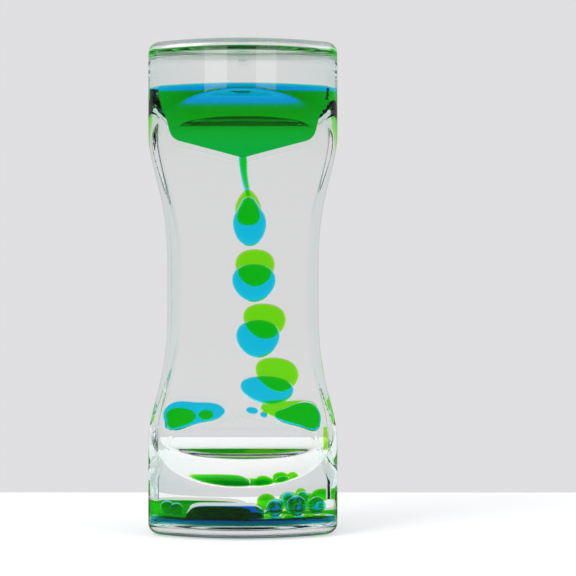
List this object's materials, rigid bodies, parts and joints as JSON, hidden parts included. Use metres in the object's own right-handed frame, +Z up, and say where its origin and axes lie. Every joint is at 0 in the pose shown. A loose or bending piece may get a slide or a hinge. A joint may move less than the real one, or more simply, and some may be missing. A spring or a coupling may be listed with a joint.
{
  "type": "liquid motion timer",
  "caption": "Clear hourglass-shaped liquid motion timer with a thin waist, bowed ends, funnels, and blue and lime drops that sink through clear oil.",
  "frame": {"origin": "centre of the flat bottom face that the timer stands on", "axes": "+Z up along the height, +X to the right seen from the front, -Y towards the viewer; the divider lies in Y = 0, with the blue half in front"},
  "size_m": [0.0532, 0.035, 0.138],
  "materials": {
    "clear_acrylic": "gloss",
    "carrier_oil": "gloss",
    "blue_liquid": "gloss",
    "lime_liquid": "gloss",
    "fill_plug": "gloss"
  },
  "bodies": {
    "timer": {"blue_beads": "blue_liquid", "blue_bottom_pool": "blue_liquid", "blue_left_puddle": "blue_liquid", "blue_right_puddle": "blue_liquid", "blue_small_puddles": "blue_liquid", "blue_thread": "blue_liquid", "blue_upper_pool": "blue_liquid", "body_shell": "clear_acrylic", "bottom_end_cap": "clear_acrylic", "centre_divider": "clear_acrylic", "front_carrier_oil": "carrier_oil", "front_fill_plug": "fill_plug", "lime_beads": "lime_liquid", "lime_bottom_pool": "lime_liquid", "lime_free_drop": "lime_liquid", "lime_left_puddle": "lime_liquid", "lime_right_puddle": "lime_liquid", "lime_small_puddle": "lime_liquid", "lime_thread": "lime_liquid", "lime_trickle": "lime_liquid", "lime_upper_pool": "lime_liquid", "lower_front_funnel": "clear_acrylic", "lower_rear_funnel": "clear_acrylic", "rear_carrier_oil": "carrier_oil", "rear_fill_plug": "fill_plug", "top_end_cap": "clear_acrylic", "upper_front_funnel": "clear_acrylic", "upper_rear_funnel": "clear_acrylic"},
    "blue_drop_1": {"blue_drop_1": "blue_liquid"},
    "blue_drop_2": {"blue_drop_2": "blue_liquid"},
    "blue_drop_3": {"blue_drop_3": "blue_liquid"},
    "blue_drop_4": {"blue_drop_4": "blue_liquid"},
    "lime_drop_1": {"lime_drop_1": "lime_liquid"},
    "lime_drop_2": {"lime_drop_2": "lime_liquid"},
    "lime_drop_3": {"lime_drop_3": "lime_liquid"},
    "lime_drop_4": {"lime_drop_4": "lime_liquid"}
  },
  "joints": [
    {"name": "blue_drop_1_sink", "type": "slide", "parent": "timer", "child": "blue_drop_1", "axis": [0, 0, -1], "range_m": [0, 0.005]},
    {"name": "blue_drop_2_sink", "type": "slide", "parent": "timer", "child": "blue_drop_2", "axis": [0, 0, -1], "range_m": [0, 0.005]},
    {"name": "blue_drop_3_sink", "type": "slide", "parent": "timer", "child": "blue_drop_3", "axis": [0, 0, -1], "range_m": [0, 0.005]},
    {"name": "blue_drop_4_sink", "type": "slide", "parent": "timer", "child": "blue_drop_4", "axis": [0, 0, -1], "range_m": [0, 0.001]},
    {"name": "lime_drop_1_sink", "type": "slide", "parent": "timer", "child": "lime_drop_1", "axis": [0, 0, -1], "range_m": [0, 0.005]},
    {"name": "lime_drop_2_sink", "type": "slide", "parent": "timer", "child": "lime_drop_2", "axis": [0, 0, -1], "range_m": [0, 0.005]},
    {"name": "lime_drop_3_sink", "type": "slide", "parent": "timer", "child": "lime_drop_3", "axis": [0, 0, -1], "range_m": [0, 0.005]},
    {"name": "lime_drop_4_sink", "type": "slide", "parent": "timer", "child": "lime_drop_4", "axis": [0, 0, -1], "range_m": [0, 0.0016]}
  ],
  "couplings": [
    {"joint": "blue_drop_2_sink", "follows": "blue_drop_1_sink", "ratio": 1},
    {"joint": "blue_drop_3_sink", "follows": "blue_drop_1_sink", "ratio": 1},
    {"joint": "blue_drop_4_sink", "follows": "blue_drop_1_sink", "ratio": 0.2},
    {"joint": "lime_drop_2_sink", "follows": "lime_drop_1_sink", "ratio": 1},
    {"joint": "lime_drop_3_sink", "follows": "lime_drop_1_sink", "ratio": 1},
    {"joint": "lime_drop_4_sink", "follows": "lime_drop_1_sink", "ratio": 0.32}
  ]
}
